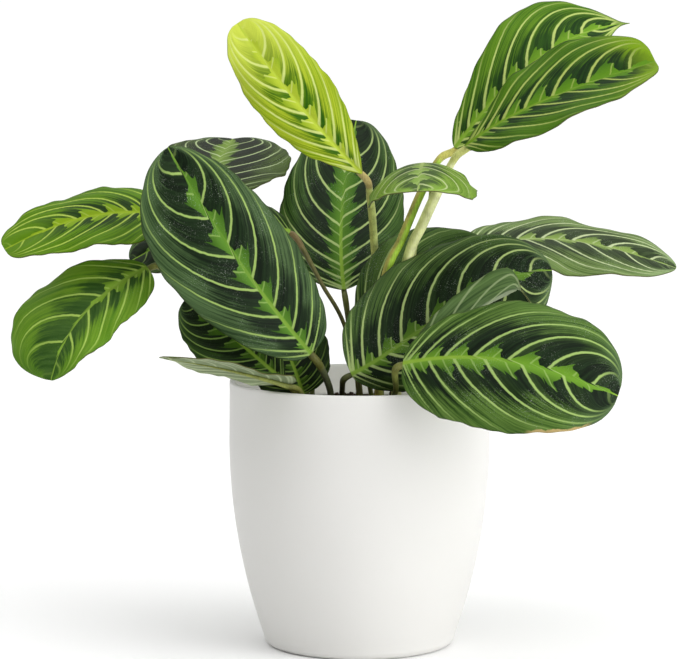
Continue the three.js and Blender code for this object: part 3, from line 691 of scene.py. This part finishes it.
# The upper side of a living blade: a soft, waxy sheen, veins and herringbone drawn by the leaf's own
# growth, and dark patches that run out in streaks.
def upper_skin(name, look):
    """The upper side in one of the looks below."""
    material, tree = new_material(name)
    t, v, m, gap, span, edge = blade_values(tree)
    spot = add(tree, "TexCoord", output="Object")
    # Unevenness of 3 mm and of 12 mm that no living leaf is without.
    fine = add(tree, "TexNoise", {"Vector": spot, "Scale": 330, "Detail": 3})
    broad = add(tree, "TexNoise", {"Vector": spot, "Scale": 80, "Detail": 2})
    shaken = add(tree, "Math", {0: fine, 1: 0.07, 2: m}, operation="MULTIPLY_ADD")
    c, off = between_veins(tree, shaken, gap)
    out = add(tree, "Math", {0: v}, operation="ABSOLUTE")
    room = add(tree, "Math", {0: span, 1: edge}, operation="ADD")
    # Streaks about 0.8 mm apart run beside the veins.
    strands = add(tree, "CombineXYZ", {0: shaken, 1: out, 2: t})
    strands = add(tree, "Mapping", {"Vector": strands, "Scale": (look["streaks"], 1.6, 1.2)})
    streak = add(tree, "TexNoise", {"Vector": strands, "Scale": 1, "Detail": 4, "Roughness": 0.6})
    streak = add(tree, "MapRange", {"Value": streak, "From Min": 0.38, "From Max": 0.62})
    # The herringbone along the midrib: how far it reaches over one gap between veins, on the left and on
    # the right, cut into four teeth that point to the tip. It is smaller where the blade is narrow.
    reaches = []
    for teeth in look["teeth"]:
        reach = add(tree, "FloatCurve", {"Value": c})
        curve = reach.node.mapping.curves[0]
        first, *inner_points, last = [(x, y / LONGEST_TOOTH) for x, y in teeth]
        for x, y in inner_points:
            curve.points.new(x, y)
        curve.points[0].location = first
        curve.points[len(curve.points) - 1].location = last
        for point in curve.points:
            point.handle_type = "VECTOR"
        reach.node.mapping.update()
        reaches.append(reach)
    to_right = add(tree, "Math", {0: v, 1: 0.0}, operation="GREATER_THAN")
    reach = add(tree, "Mix", {0: to_right, 2: reaches[0], 3: reaches[1]})
    cut = add(tree, "Math", {0: c, 1: 4.0, 2: broad}, operation="MULTIPLY_ADD")
    cut = add(tree, "Math", {0: cut}, operation="FRACT")
    cut = add(tree, "MapRange", {"Value": cut, "To Min": 0.8, "To Max": 1.14})
    uneven = add(
        tree, "MapRange", {"Value": broad, "From Min": 0.3, "From Max": 0.7, "To Min": 0.75, "To Max": 1.2}
    )
    size = add(
        tree,
        "MapRange",
        {"Value": room, "From Min": 1, "From Max": 17, "To Min": 0, "To Max": look["bone_size"]},
    )
    start, end = look["bone_end"]
    slim = add(
        tree, "MapRange", {"Value": t, "From Min": start, "From Max": end, "To Min": 1, "To Max": 0.12}
    )
    for factor in (cut, uneven, size, slim):
        reach = add(tree, "Math", {0: reach, 1: factor}, operation="MULTIPLY")
    past = add(tree, "Math", {0: span, 1: reach}, operation="SUBTRACT")
    bone = add(tree, "MapRange", {"Value": past, "From Min": -0.12, "From Max": 0.14, **FALLS}, **SMOOTHLY)
    # The dark patches run out between the streaks.
    spread = add(tree, "Math", {0: broad, 1: 0.5, 2: out}, operation="MULTIPLY_ADD")
    spread = add(tree, "Math", {0: streak, 1: 0.22, 2: spread}, operation="MULTIPLY_ADD")
    low, high = look["patch"]
    patch = add(
        tree,
        "MapRange",
        {"Value": spread, "From Min": low + 0.36, "From Max": high + 0.36, **FALLS},
        **SMOOTHLY,
    )
    beside = add(tree, "MapRange", {"Value": c, "From Max": 0.5, "To Min": look["beside"], "To Max": 1})
    start, end = look["patch_end"]
    ending = add(tree, "MapRange", {"Value": t, "From Min": start, "From Max": end, **FALLS}, **SMOOTHLY)
    for factor in (beside, ending):
        patch = add(tree, "Math", {0: patch, 1: factor}, operation="MULTIPLY")
    near = add(tree, "MapRange", {"Value": span, "From Min": 1, "From Max": 6, **FALLS})
    margin, dark, herring = (
        add(tree, "Mix", {0: mixed, 6: linear(look[key][0]), 7: linear(look[key][1])}, **COLOURS)
        for key, mixed in (("margin", streak), ("dark", streak), ("bone", near))
    )
    start, end = look["tip_from"]
    tip = add(tree, "MapRange", {"Value": t, "From Min": start, "From Max": end}, **SMOOTHLY)
    # A faint vein of its own runs through the middle of each piece of the herringbone.
    middle = add(tree, "Math", {0: c, 1: 0.56}, operation="SUBTRACT")
    middle = add(tree, "Math", {0: middle}, operation="ABSOLUTE")
    middle = add(tree, "Math", {0: middle, 1: gap}, operation="MULTIPLY")
    middle = add(
        tree, "MapRange", {"Value": middle, "From Min": 0.1, "From Max": 0.5, "To Min": 0.55, "To Max": 0}
    )
    vein_colour = linear(look["vein"])
    herring = add(tree, "Mix", {0: middle, 6: herring, 7: vein_colour}, **COLOURS)
    # Veins are about 1 mm wide, as vein_width says, and thin out to the edge, where they fade.
    width = add(tree, "MapRange", {"Value": out, "To Min": look["vein_width"], "To Max": 0.32})
    line = add(tree, "Math", {0: off, 1: width}, operation="DIVIDE")
    vein = add(
        tree,
        "MapRange",
        {"Value": line, "From Min": 0.45, "From Max": 1.25, "To Min": look["vein_strength"], "To Max": 0},
        **SMOOTHLY,
    )
    last = look["last"]
    fades = ((out, 0.72, 1, 0.15), (t, *look["vein_end"], 0.1), (m, last, last + 0.4, 0.1))
    for at, start, end, rest in fades:
        fading = add(
            tree, "MapRange", {"Value": at, "From Min": start, "From Max": end, "To Min": 1, "To Max": rest}
        )
        vein = add(tree, "Math", {0: vein, 1: fading}, operation="MULTIPLY")
    # The midrib is 2 mm wide at the base and 0.6 mm at the tip.
    width = add(tree, "MapRange", {"Value": t, "To Min": 1.05, "To Max": 0.3})
    line = add(tree, "Math", {0: span, 1: width}, operation="DIVIDE")
    rib = add(tree, "MapRange", {"Value": line, "From Min": 0.5, "From Max": 1.3, **FALLS}, **SMOOTHLY)
    # Specks of dust and lime lie in places, and the edge itself is darker by a hair's breadth.
    speck = add(tree, "TexNoise", {"Vector": spot, "Scale": 2600, "Detail": 1})
    speck = add(tree, "MapRange", {"Value": speck, "From Min": 0.64, "From Max": 0.72})
    area = add(
        tree, "MapRange", {"Value": broad, "From Min": 0.48, "From Max": 0.68, "To Max": look["dust"]}
    )
    speck = add(tree, "Math", {0: speck, 1: area}, operation="MULTIPLY")
    dim = add(
        tree, "MapRange", {"Value": edge, "From Min": 0.1, "From Max": 0.5, "To Min": 0.6, "To Max": 0}
    )
    layers = [
        (tip, linear(look["tip"])), (patch, dark), (bone, herring), (vein, vein_colour),
        (rib, linear(look["rib"])), (speck, linear("#c6cfc0")), (dim, linear(look["edge"])),
    ]
    if "scorch" in look:
        # Old age has dried a stretch of the right edge to a papery tan.
        start, end, wide = look["scorch"]
        dry = add(tree, "MapRange", {"Value": t, "From Min": start, "From Max": start + 0.04})
        ending = add(tree, "MapRange", {"Value": t, "From Min": end, "From Max": end + 0.04, **FALLS})
        depth = add(tree, "Math", {0: fine, 1: 2.0 * wide}, operation="MULTIPLY")
        depth = add(tree, "Math", {0: edge, 1: depth}, operation="SUBTRACT")
        depth = add(tree, "MapRange", {"Value": depth, "From Min": -0.2, "From Max": 0.3, **FALLS})
        for factor in (ending, to_right, depth):
            dry = add(tree, "Math", {0: dry, 1: factor}, operation="MULTIPLY")
        layers.append((dry, linear("#b09a66")))
    colour = margin
    for share, layer in layers:
        colour = add(tree, "Mix", {0: share, 6: colour, 7: layer}, **COLOURS)
    grain = add(tree, "TexNoise", {"Vector": spot, "Scale": 2200, "Detail": 1})
    raised = add(tree, "Math", {0: vein, 1: 0.5, 2: grain}, operation="MULTIPLY_ADD")
    raised = add(tree, "Math", {0: streak, 1: 0.4, 2: raised}, operation="MULTIPLY_ADD")
    bump = add(tree, "Bump", {"Height": raised, "Strength": 0.35, "Distance": 0.0002})
    gloss = add(tree, "MapRange", {"Value": broad, "To Min": 0.36, "To Max": 0.54})
    shader = add(
        tree,
        "BsdfPrincipled",
        {"Base Color": colour, "Roughness": gloss, "Normal": bump, "Specular IOR Level": 0.09},
    )
    add(tree, "OutputMaterial", {"Surface": shader})
    return material


def under_skin(name, colours, vein_colour, rolled=None):
    """The underside: pale and matt, with the veins as faint lines. rolled gives the two greens, laid in
    streaks, of the outer part of the right half of a rolled blade."""
    material, tree = new_material(name)
    _, v, m, gap, _, _ = blade_values(tree)
    spot = add(tree, "TexCoord", output="Object")
    broad = add(tree, "TexNoise", {"Vector": spot, "Scale": 120, "Detail": 4})
    _, off = between_veins(tree, m, gap)
    vein = add(
        tree,
        "MapRange",
        {"Value": off, "From Min": 0.15, "From Max": 0.7, "To Min": 0.75, "To Max": 0},
        **SMOOTHLY,
    )
    pale, paler = colours
    tint = add(tree, "Mix", {0: broad, 6: linear(pale), 7: linear(paler)}, **COLOURS)
    if rolled:
        out = add(tree, "Math", {0: v}, operation="ABSOLUTE")
        strands = add(tree, "CombineXYZ", {0: out, 1: m})
        strands = add(tree, "Mapping", {"Vector": strands, "Scale": (26, 0.5, 1)})
        streak = add(tree, "TexNoise", {"Vector": strands, "Scale": 1, "Detail": 3, "Roughness": 0.6})
        streak = add(tree, "MapRange", {"Value": streak, "From Min": 0.35, "From Max": 0.65})
        dark, light = rolled
        green = add(tree, "Mix", {0: streak, 6: linear(dark), 7: linear(light)}, **COLOURS)
        side = add(tree, "Math", {0: broad, 1: 0.1, 2: v}, operation="MULTIPLY_ADD")
        side = add(tree, "MapRange", {"Value": side, "From Min": 0.62, "From Max": 0.66})
        tint = add(tree, "Mix", {0: side, 6: tint, 7: green}, **COLOURS)
    tint = add(tree, "Mix", {0: vein, 6: tint, 7: linear(vein_colour)}, **COLOURS)
    shader = add(
        tree, "BsdfPrincipled", {"Base Color": tint, "Roughness": 0.62, "Specular IOR Level": 0.25}
    )
    add(tree, "OutputMaterial", {"Surface": shader})
    return material


def stem_skin(name, foot, middle, joint, shaded_flank):
    """The stem: fibrous, browner at its foot, with a dull swollen joint under the blade, and with painted
    shade on its left flank, the side away from the lamp."""
    material, tree = new_material(name)
    place = add(tree, "Attribute", output="Vector", attribute_name="stem_place")
    up, down, side = add(tree, "SeparateXYZ", {0: place}).node.outputs
    spot = add(tree, "TexCoord", output="Object")
    # Fibres 0.4 mm wide and 8 mm long, and blotches of 5 mm.
    drawn = add(tree, "Mapping", {"Vector": spot, "Scale": (1, 1, 0.05)})
    fibres = add(tree, "TexNoise", {"Vector": drawn, "Scale": 2500, "Detail": 2})
    blotch = add(tree, "TexNoise", {"Vector": spot, "Scale": 200, "Detail": 3})
    low = add(tree, "MapRange", {"Value": up, "From Min": 20, "From Max": 60, **FALLS})
    cuff = add(tree, "MapRange", {"Value": down, "From Min": 8, "From Max": 11, **FALLS}, **SMOOTHLY)
    past = add(tree, "MapRange", {"Value": down, "From Min": -3, "From Max": 0})
    cuff = add(tree, "Math", {0: cuff, 1: past}, operation="MULTIPLY")
    # The flank that faces left, away from the lamp, is painted darker as shade.
    left = add(tree, "MapRange", {"Value": side, "From Min": -0.35, "From Max": 0.1, **FALLS})
    tint = linear(middle)
    for share, colour in ((left, shaded_flank), (low, foot), (cuff, joint)):
        tint = add(tree, "Mix", {0: share, 6: tint, 7: linear(colour)}, **COLOURS)
    shade = add(
        tree, "MapRange", {"Value": blotch, "From Min": 0.3, "From Max": 0.7, "To Min": 0.7, "To Max": 1.2}
    )
    for share, blend, layer in ((1.0, "MULTIPLY", shade), (0.5, "OVERLAY", fibres)):
        tint = add(tree, "Mix", {0: share, 6: tint, 7: layer}, blend_type=blend, **COLOURS)
    bump = add(tree, "Bump", {"Height": fibres, "Strength": 0.3, "Distance": 0.0002})
    shader = add(
        tree,
        "BsdfPrincipled",
        {"Base Color": tint, "Roughness": 0.5, "Normal": bump, "Specular IOR Level": 0.3},
    )
    add(tree, "OutputMaterial", {"Surface": shader})
    return material


# The looks of the upper sides. margin, dark and bone are the dark and the light tone of the green between
# the veins, of the dark patches and of the herringbone. patch is where across a half the patches fade
# out, from 0 at the midrib to 1 at the edge, and beside how strong they are right beside a vein. From 0
# at the blade's base to 1 at its tip, patch_end, bone_end and vein_end are where these fade out, and
# tip_from is where the tip's own tone comes in. last is the number of the last vein that shows clearly.
# streaks is how close the streaks lie, bone_size how many mm a tooth of LONGEST_TOOTH reaches, and
# scorch where the dried stretch of the edge starts and ends, and how many mm wide it is.
DARK_LEAF = dict(
    teeth=(SMALL, SMALL), streaks=11, patch=(0.42, 0.86), beside=0.8, patch_end=(1.1, 1.3),
    margin=("#283f1a", "#4c672f"), dark=("#0c180a", "#1a2c15"), bone=("#466a19", "#709a30"),
    tip="#4b633f", tip_from=(0.8, 1.0), vein="#a6bb74", vein_width=0.8, vein_strength=0.95, last=20,
    vein_end=(0.9, 0.98), bone_end=(0.72, 0.97), bone_size=10,
    rib="#8aae3a", dust=0.5, edge="#3a3f24",
)
LOOKS = {
    "leaf_left_large": dict(
        DARK_LEAF, margin=("#2c4224", "#4c643c"), last=7.3, bone=("#365a16", "#548026"), rib="#789c38",
        vein="#98b462", vein_width=0.7,
    ),
    "leaf_right_large": dict(DARK_LEAF, bone=("#3c5e1a", "#5c8228"), rib="#7c9e3a"),
    "leaf_right_front": dict(
        DARK_LEAF, teeth=(SMALL, WIDE), margin=("#32501a", "#5a7834"), scorch=(0.66, 0.9, 1.2),
        bone=("#42681a", "#669228"), vein="#9ab666",
    ),
    "leaf_centre_upright": dict(
        DARK_LEAF, teeth=(BAND, BAND), bone=("#335c10", "#527c20"), margin=("#1d340c", "#44622a"),
        dark=("#0b1a07", "#172a10"),
    ),
    "leaf_top_left": dict(
        DARK_LEAF, patch=(0.25, 0.62), patch_end=(0.5, 1.0), beside=0.6,
        margin=("#6c8c0c", "#a6b82a"), dark=("#295809", "#4e7608"), bone=("#84a01e", "#acbe34"),
        tip="#c4d24c", tip_from=(0.5, 1.0), vein="#d2de84", vein_strength=0.8, rib="#b4c840", dust=0,
        edge="#7a8a2a",
    ),
    "leaf_top_right_rear": dict(
        DARK_LEAF, margin=("#38640f", "#5f861c"), dark=("#15330a", "#2a4f0f"), bone=("#517c14", "#6d9a24"),
        tip="#4d7a20", vein="#b8ca70", rib="#86ac36", dust=0, patch=(0.3, 0.8),
    ),
    "leaf_top_right_front": dict(
        DARK_LEAF, margin=("#34580b", "#4c7313"), dark=("#0f260a", "#1c3b0e"), bone=("#416c10", "#5b881a"),
        tip="#769810", tip_from=(0.76, 1.0), patch_end=(0.86, 1.04), vein="#a4b45c", rib="#76992a",
        dust=0.1, patch=(0.3, 0.7), bone_size=12.5, bone_end=(0.84, 1.0),
    ),
    "leaf_centre_young": dict(
        DARK_LEAF, margin=("#54751f", "#78973a"), dark=("#344b17", "#466024"), bone=("#668730", "#7e9c42"),
        tip="#7ea238", vein="#b8c68c", vein_strength=0.75, rib="#a2b468", dust=0.2, patch=(0.2, 0.5),
    ),
    "leaf_far_left_upper": dict(
        DARK_LEAF, margin=("#3c6206", "#5c8408"), dark=("#1c360a", "#2b490b"), bone=("#668c0c", "#84a214"),
        tip="#567e06", tip_from=(0.6, 0.95), patch_end=(0.6, 0.86), vein="#aac250", vein_width=0.55,
        rib="#92ae22", dust=0, patch=(0.26, 0.62), bone_end=(0.6, 0.85),
    ),
    "leaf_far_left_lower": dict(
        DARK_LEAF, margin=("#527e1a", "#6a9026"), dark=("#2a4a16", "#3e5e24"), bone=("#537c1c", "#7aa030"),
        tip="#48701c", vein="#a8c65c", rib="#7ea038", dust=0.1, patch=(0.26, 0.6), vein_strength=0.9,
        bone_end=(0.2, 0.42), vein_end=(0.7, 0.95), vein_width=0.66, streaks=8,
    ),
    "leaf_far_right": dict(
        DARK_LEAF, margin=("#4c6630", "#7a9252"), dark=("#223014", "#374826"), bone=("#5a7430", "#86a04e"),
        tip="#7c9660", vein="#c0ce9c", rib="#a4ba74", dust=0.8, patch=(0.35, 0.8),
    ),
    "leaf_left_rear": dict(
        DARK_LEAF, teeth=(BAND, BAND), margin=("#28360f", "#485c24"), dark=("#0d1304", "#1c2610"),
        patch=(0.5, 0.9), bone=("#4c681c", "#708c34"), vein="#a8ba86", rib="#8ca850",
    ),
    "leaf_low_left": dict(
        DARK_LEAF, margin=("#1d300e", "#2f4a15"), dark=("#0e1a07", "#192910"), bone=("#335211", "#466b1a"),
        vein="#7c9a4a", vein_width=0.4, dust=0.1,
    ),
}

UNDERSIDE = under_skin("leaf_underside", ("#54613c", "#8c9a76"), "#a6b28c")
ROLLED_UNDERSIDE = under_skin(
    "leaf_rolled_underside", ("#6c7a58", "#8c9a78"), "#8ea070", ("#2c4618", "#547038")
)
EDGE = under_skin("leaf_edge", ("#4c5028", "#5c5a30"), "#5a5c30")

# Blades that show little take the look of one that shows well, and those at the back, or nearly hidden,
# that of leaf_right_large.
SAME_LOOK = dict.fromkeys(("leaf_low_centre", "leaf_rim_left", "leaf_left_hidden"), "leaf_low_left")
# How many veins each half has, and how far they bend forward.
VEINS = {
    "leaf_centre_young": (6, 2.0), "leaf_left_large": (7, 2.0), "leaf_right_front": (7, 2.4),
    "leaf_far_left_lower": (6, 2.2), "leaf_far_left_upper": (7, 2.6),
}
# Each stem's width lower down, as a share of that at the blade, and the colours of its foot, its middle,
# its joint and its left flank, which is darker as painted shade.
STEMS = {
    "leaf_top_left": (1.2, "#929e50", "#bcc874", "#b8a868", "#b4ba66"),
    "leaf_top_right_rear": (1.25, "#9a8c48", "#a2c83e", "#bcb85c", "#a4a04e"),
    "leaf_top_right_front": (1.5, "#b8bc78", "#dce2a2", "#bcc070", "#c8d084"),
    "leaf_centre_young": (1.1, "#a4a86a", "#b8c078", "#a8b45c", "#9aa458"),
    "leaf_centre_upright": (1.0, "#5c5a2c", "#6c6c3a", "#646830", "#585a2c"),
    "leaf_left_large": (0.95, "#4c523c", "#555c3a", "#5e6028", "#44462c"),
    "leaf_left_hidden": (0.7, "#5a5a2e", "#747040", "#7c6c44", "#5c5c30"),
    "leaf_right_large": (0.95, "#3e4224", "#4a4e30", "#4c5028", "#3a3c24"),
}
PLAIN_STEM = (0.8, "#5c6430", "#828a44", "#74783a", "#666c36")
# A table of a slot for some blades, which says how old each is; nothing in the script gives these slots to
# the blades.
SLOTS = dict.fromkeys(("leaf_top_left", "leaf_centre_young", "leaf_far_left_upper"), "young_leaf")
SLOTS |= dict.fromkeys(("leaf_top_right_rear", "leaf_top_right_front", "leaf_far_left_lower"), "grown_leaf")

for seed, (name, leaf) in enumerate(LEAVES.items()):
    leaf["veins"] = VEINS.get(name, (8, 2.0))
    made = blade(name + "_blade", leaf, seed)
    look = name if name in LOOKS else SAME_LOOK.get(name, "leaf_right_large")
    upper = bpy.data.materials.get(look + "_skin") or upper_skin(look + "_skin", LOOKS[look])
    for material in (upper, ROLLED_UNDERSIDE if "torn" in leaf else UNDERSIDE, EDGE):
        made.data.materials.append(material)
    # The sheet gets its thickness, and its underside and its edge have a look of their own.
    bpy.ops.object.modifier_add(type="SOLIDIFY")
    solidify = made.modifiers[-1]
    solidify.thickness = BLADE_THICKNESS / 1000
    solidify.offset = 0
    solidify.material_offset = 1
    solidify.material_offset_rim = 2
    bpy.ops.object.modifier_apply(modifier=solidify.name)
    wide, *colours = STEMS.get(name, PLAIN_STEM)
    stalk = stem(name + "_stem", leaf, wide)
    kind = (name if name in STEMS else "plain") + "_stem_skin"
    stalk.data.materials.append(bpy.data.materials.get(kind) or stem_skin(kind, *colours))
    # Blade and stem are one piece.
    made.select_set(True)
    stalk.select_set(True)
    bpy.context.view_layer.objects.active = made
    bpy.ops.object.join()
    bpy.ops.object.select_all(action="DESELECT")
    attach(made, "root")
    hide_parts(name)
